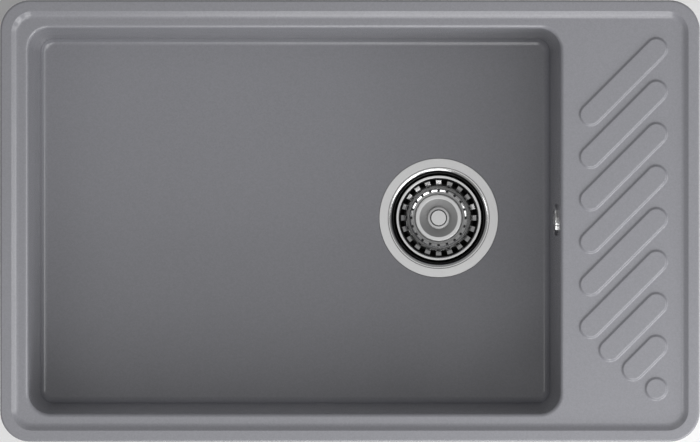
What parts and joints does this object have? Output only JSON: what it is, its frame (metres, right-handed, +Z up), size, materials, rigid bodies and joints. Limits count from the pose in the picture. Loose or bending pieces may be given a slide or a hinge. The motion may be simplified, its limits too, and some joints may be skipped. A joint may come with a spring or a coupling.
{
  "type": "kitchen sink",
  "caption": "Inset stone-composite kitchen sink with one deep bowl, a short ribbed drainer, a lift-out basket strainer waste, an overflow and sliding worktop clips.",
  "frame": {"origin": "middle of the outline, on the plane where the rim lies on the worktop", "axes": "+X towards the drainer, +Y towards the back, +Z up"},
  "size_m": [0.67, 0.423, 0.298],
  "materials": {
    "composite": "fine matt grain",
    "foam": "closed-cell foam",
    "polished_steel": "polished stainless",
    "stainless": "plain stainless",
    "chrome": "chrome plated",
    "zinc_steel": "zinc plated sheet",
    "brass": "plain brass",
    "rubber_black": "soft rubber",
    "plastic_white": "moulded, satin",
    "plastic_black": "moulded, satin",
    "hose_grey": "ribbed flexible plastic"
  },
  "bodies": {
    "sink": {"sink_basin": "composite", "rim_sealing_strip": "foam", "waste_cup": "polished_steel", "cup_gasket": "rubber_black", "housing_gasket": "rubber_black", "waste_housing": "plastic_white", "waste_bolt": "stainless", "bolt_insert": "brass", "overflow_rosette": "chrome", "overflow_screw": "stainless", "overflow_gasket": "rubber_black", "overflow_elbow": "plastic_white", "overflow_hose": "hose_grey", "hose_nut_upper": "plastic_white", "hose_nut_lower": "plastic_white", "hose_seal_upper": "rubber_black", "hose_seal_lower": "rubber_black", "clip_screws": "stainless", "clip_washers": "zinc_steel", "clip_inserts": "brass"},
    "basket": {"strainer_basket": "polished_steel", "basket_knob": "polished_steel", "knob_washer": "polished_steel", "stopper_carrier": "plastic_black", "stopper_seal": "rubber_black", "stem_nut": "stainless"},
    "clip_left_front_body": {"clip_left_front": "zinc_steel"},
    "clip_left_back_body": {"clip_left_back": "zinc_steel"},
    "clip_right_front_body": {"clip_right_front": "zinc_steel"},
    "clip_right_back_body": {"clip_right_back": "zinc_steel"},
    "clip_front_left_body": {"clip_front_left": "zinc_steel"},
    "clip_front_right_body": {"clip_front_right": "zinc_steel"},
    "clip_back_left_body": {"clip_back_left": "zinc_steel"},
    "clip_back_right_body": {"clip_back_right": "zinc_steel"}
  },
  "joints": [
    {"name": "basket_lift", "type": "slide", "parent": "sink", "child": "basket", "axis": [0, 0, 1], "range_m": [0, 0.26]},
    {"name": "clip_left_front_slide", "type": "slide", "parent": "sink", "child": "clip_left_front_body", "axis": [0, 0, 1], "range_m": [0, 0.012]},
    {"name": "clip_left_back_slide", "type": "slide", "parent": "sink", "child": "clip_left_back_body", "axis": [0, 0, 1], "range_m": [0, 0.012]},
    {"name": "clip_right_front_slide", "type": "slide", "parent": "sink", "child": "clip_right_front_body", "axis": [0, 0, 1], "range_m": [0, 0.012]},
    {"name": "clip_right_back_slide", "type": "slide", "parent": "sink", "child": "clip_right_back_body", "axis": [0, 0, 1], "range_m": [0, 0.012]},
    {"name": "clip_front_left_slide", "type": "slide", "parent": "sink", "child": "clip_front_left_body", "axis": [0, 0, 1], "range_m": [0, 0.012]},
    {"name": "clip_front_right_slide", "type": "slide", "parent": "sink", "child": "clip_front_right_body", "axis": [0, 0, 1], "range_m": [0, 0.012]},
    {"name": "clip_back_left_slide", "type": "slide", "parent": "sink", "child": "clip_back_left_body", "axis": [0, 0, 1], "range_m": [0, 0.012]},
    {"name": "clip_back_right_slide", "type": "slide", "parent": "sink", "child": "clip_back_right_body", "axis": [0, 0, 1], "range_m": [0, 0.012]}
  ]
}
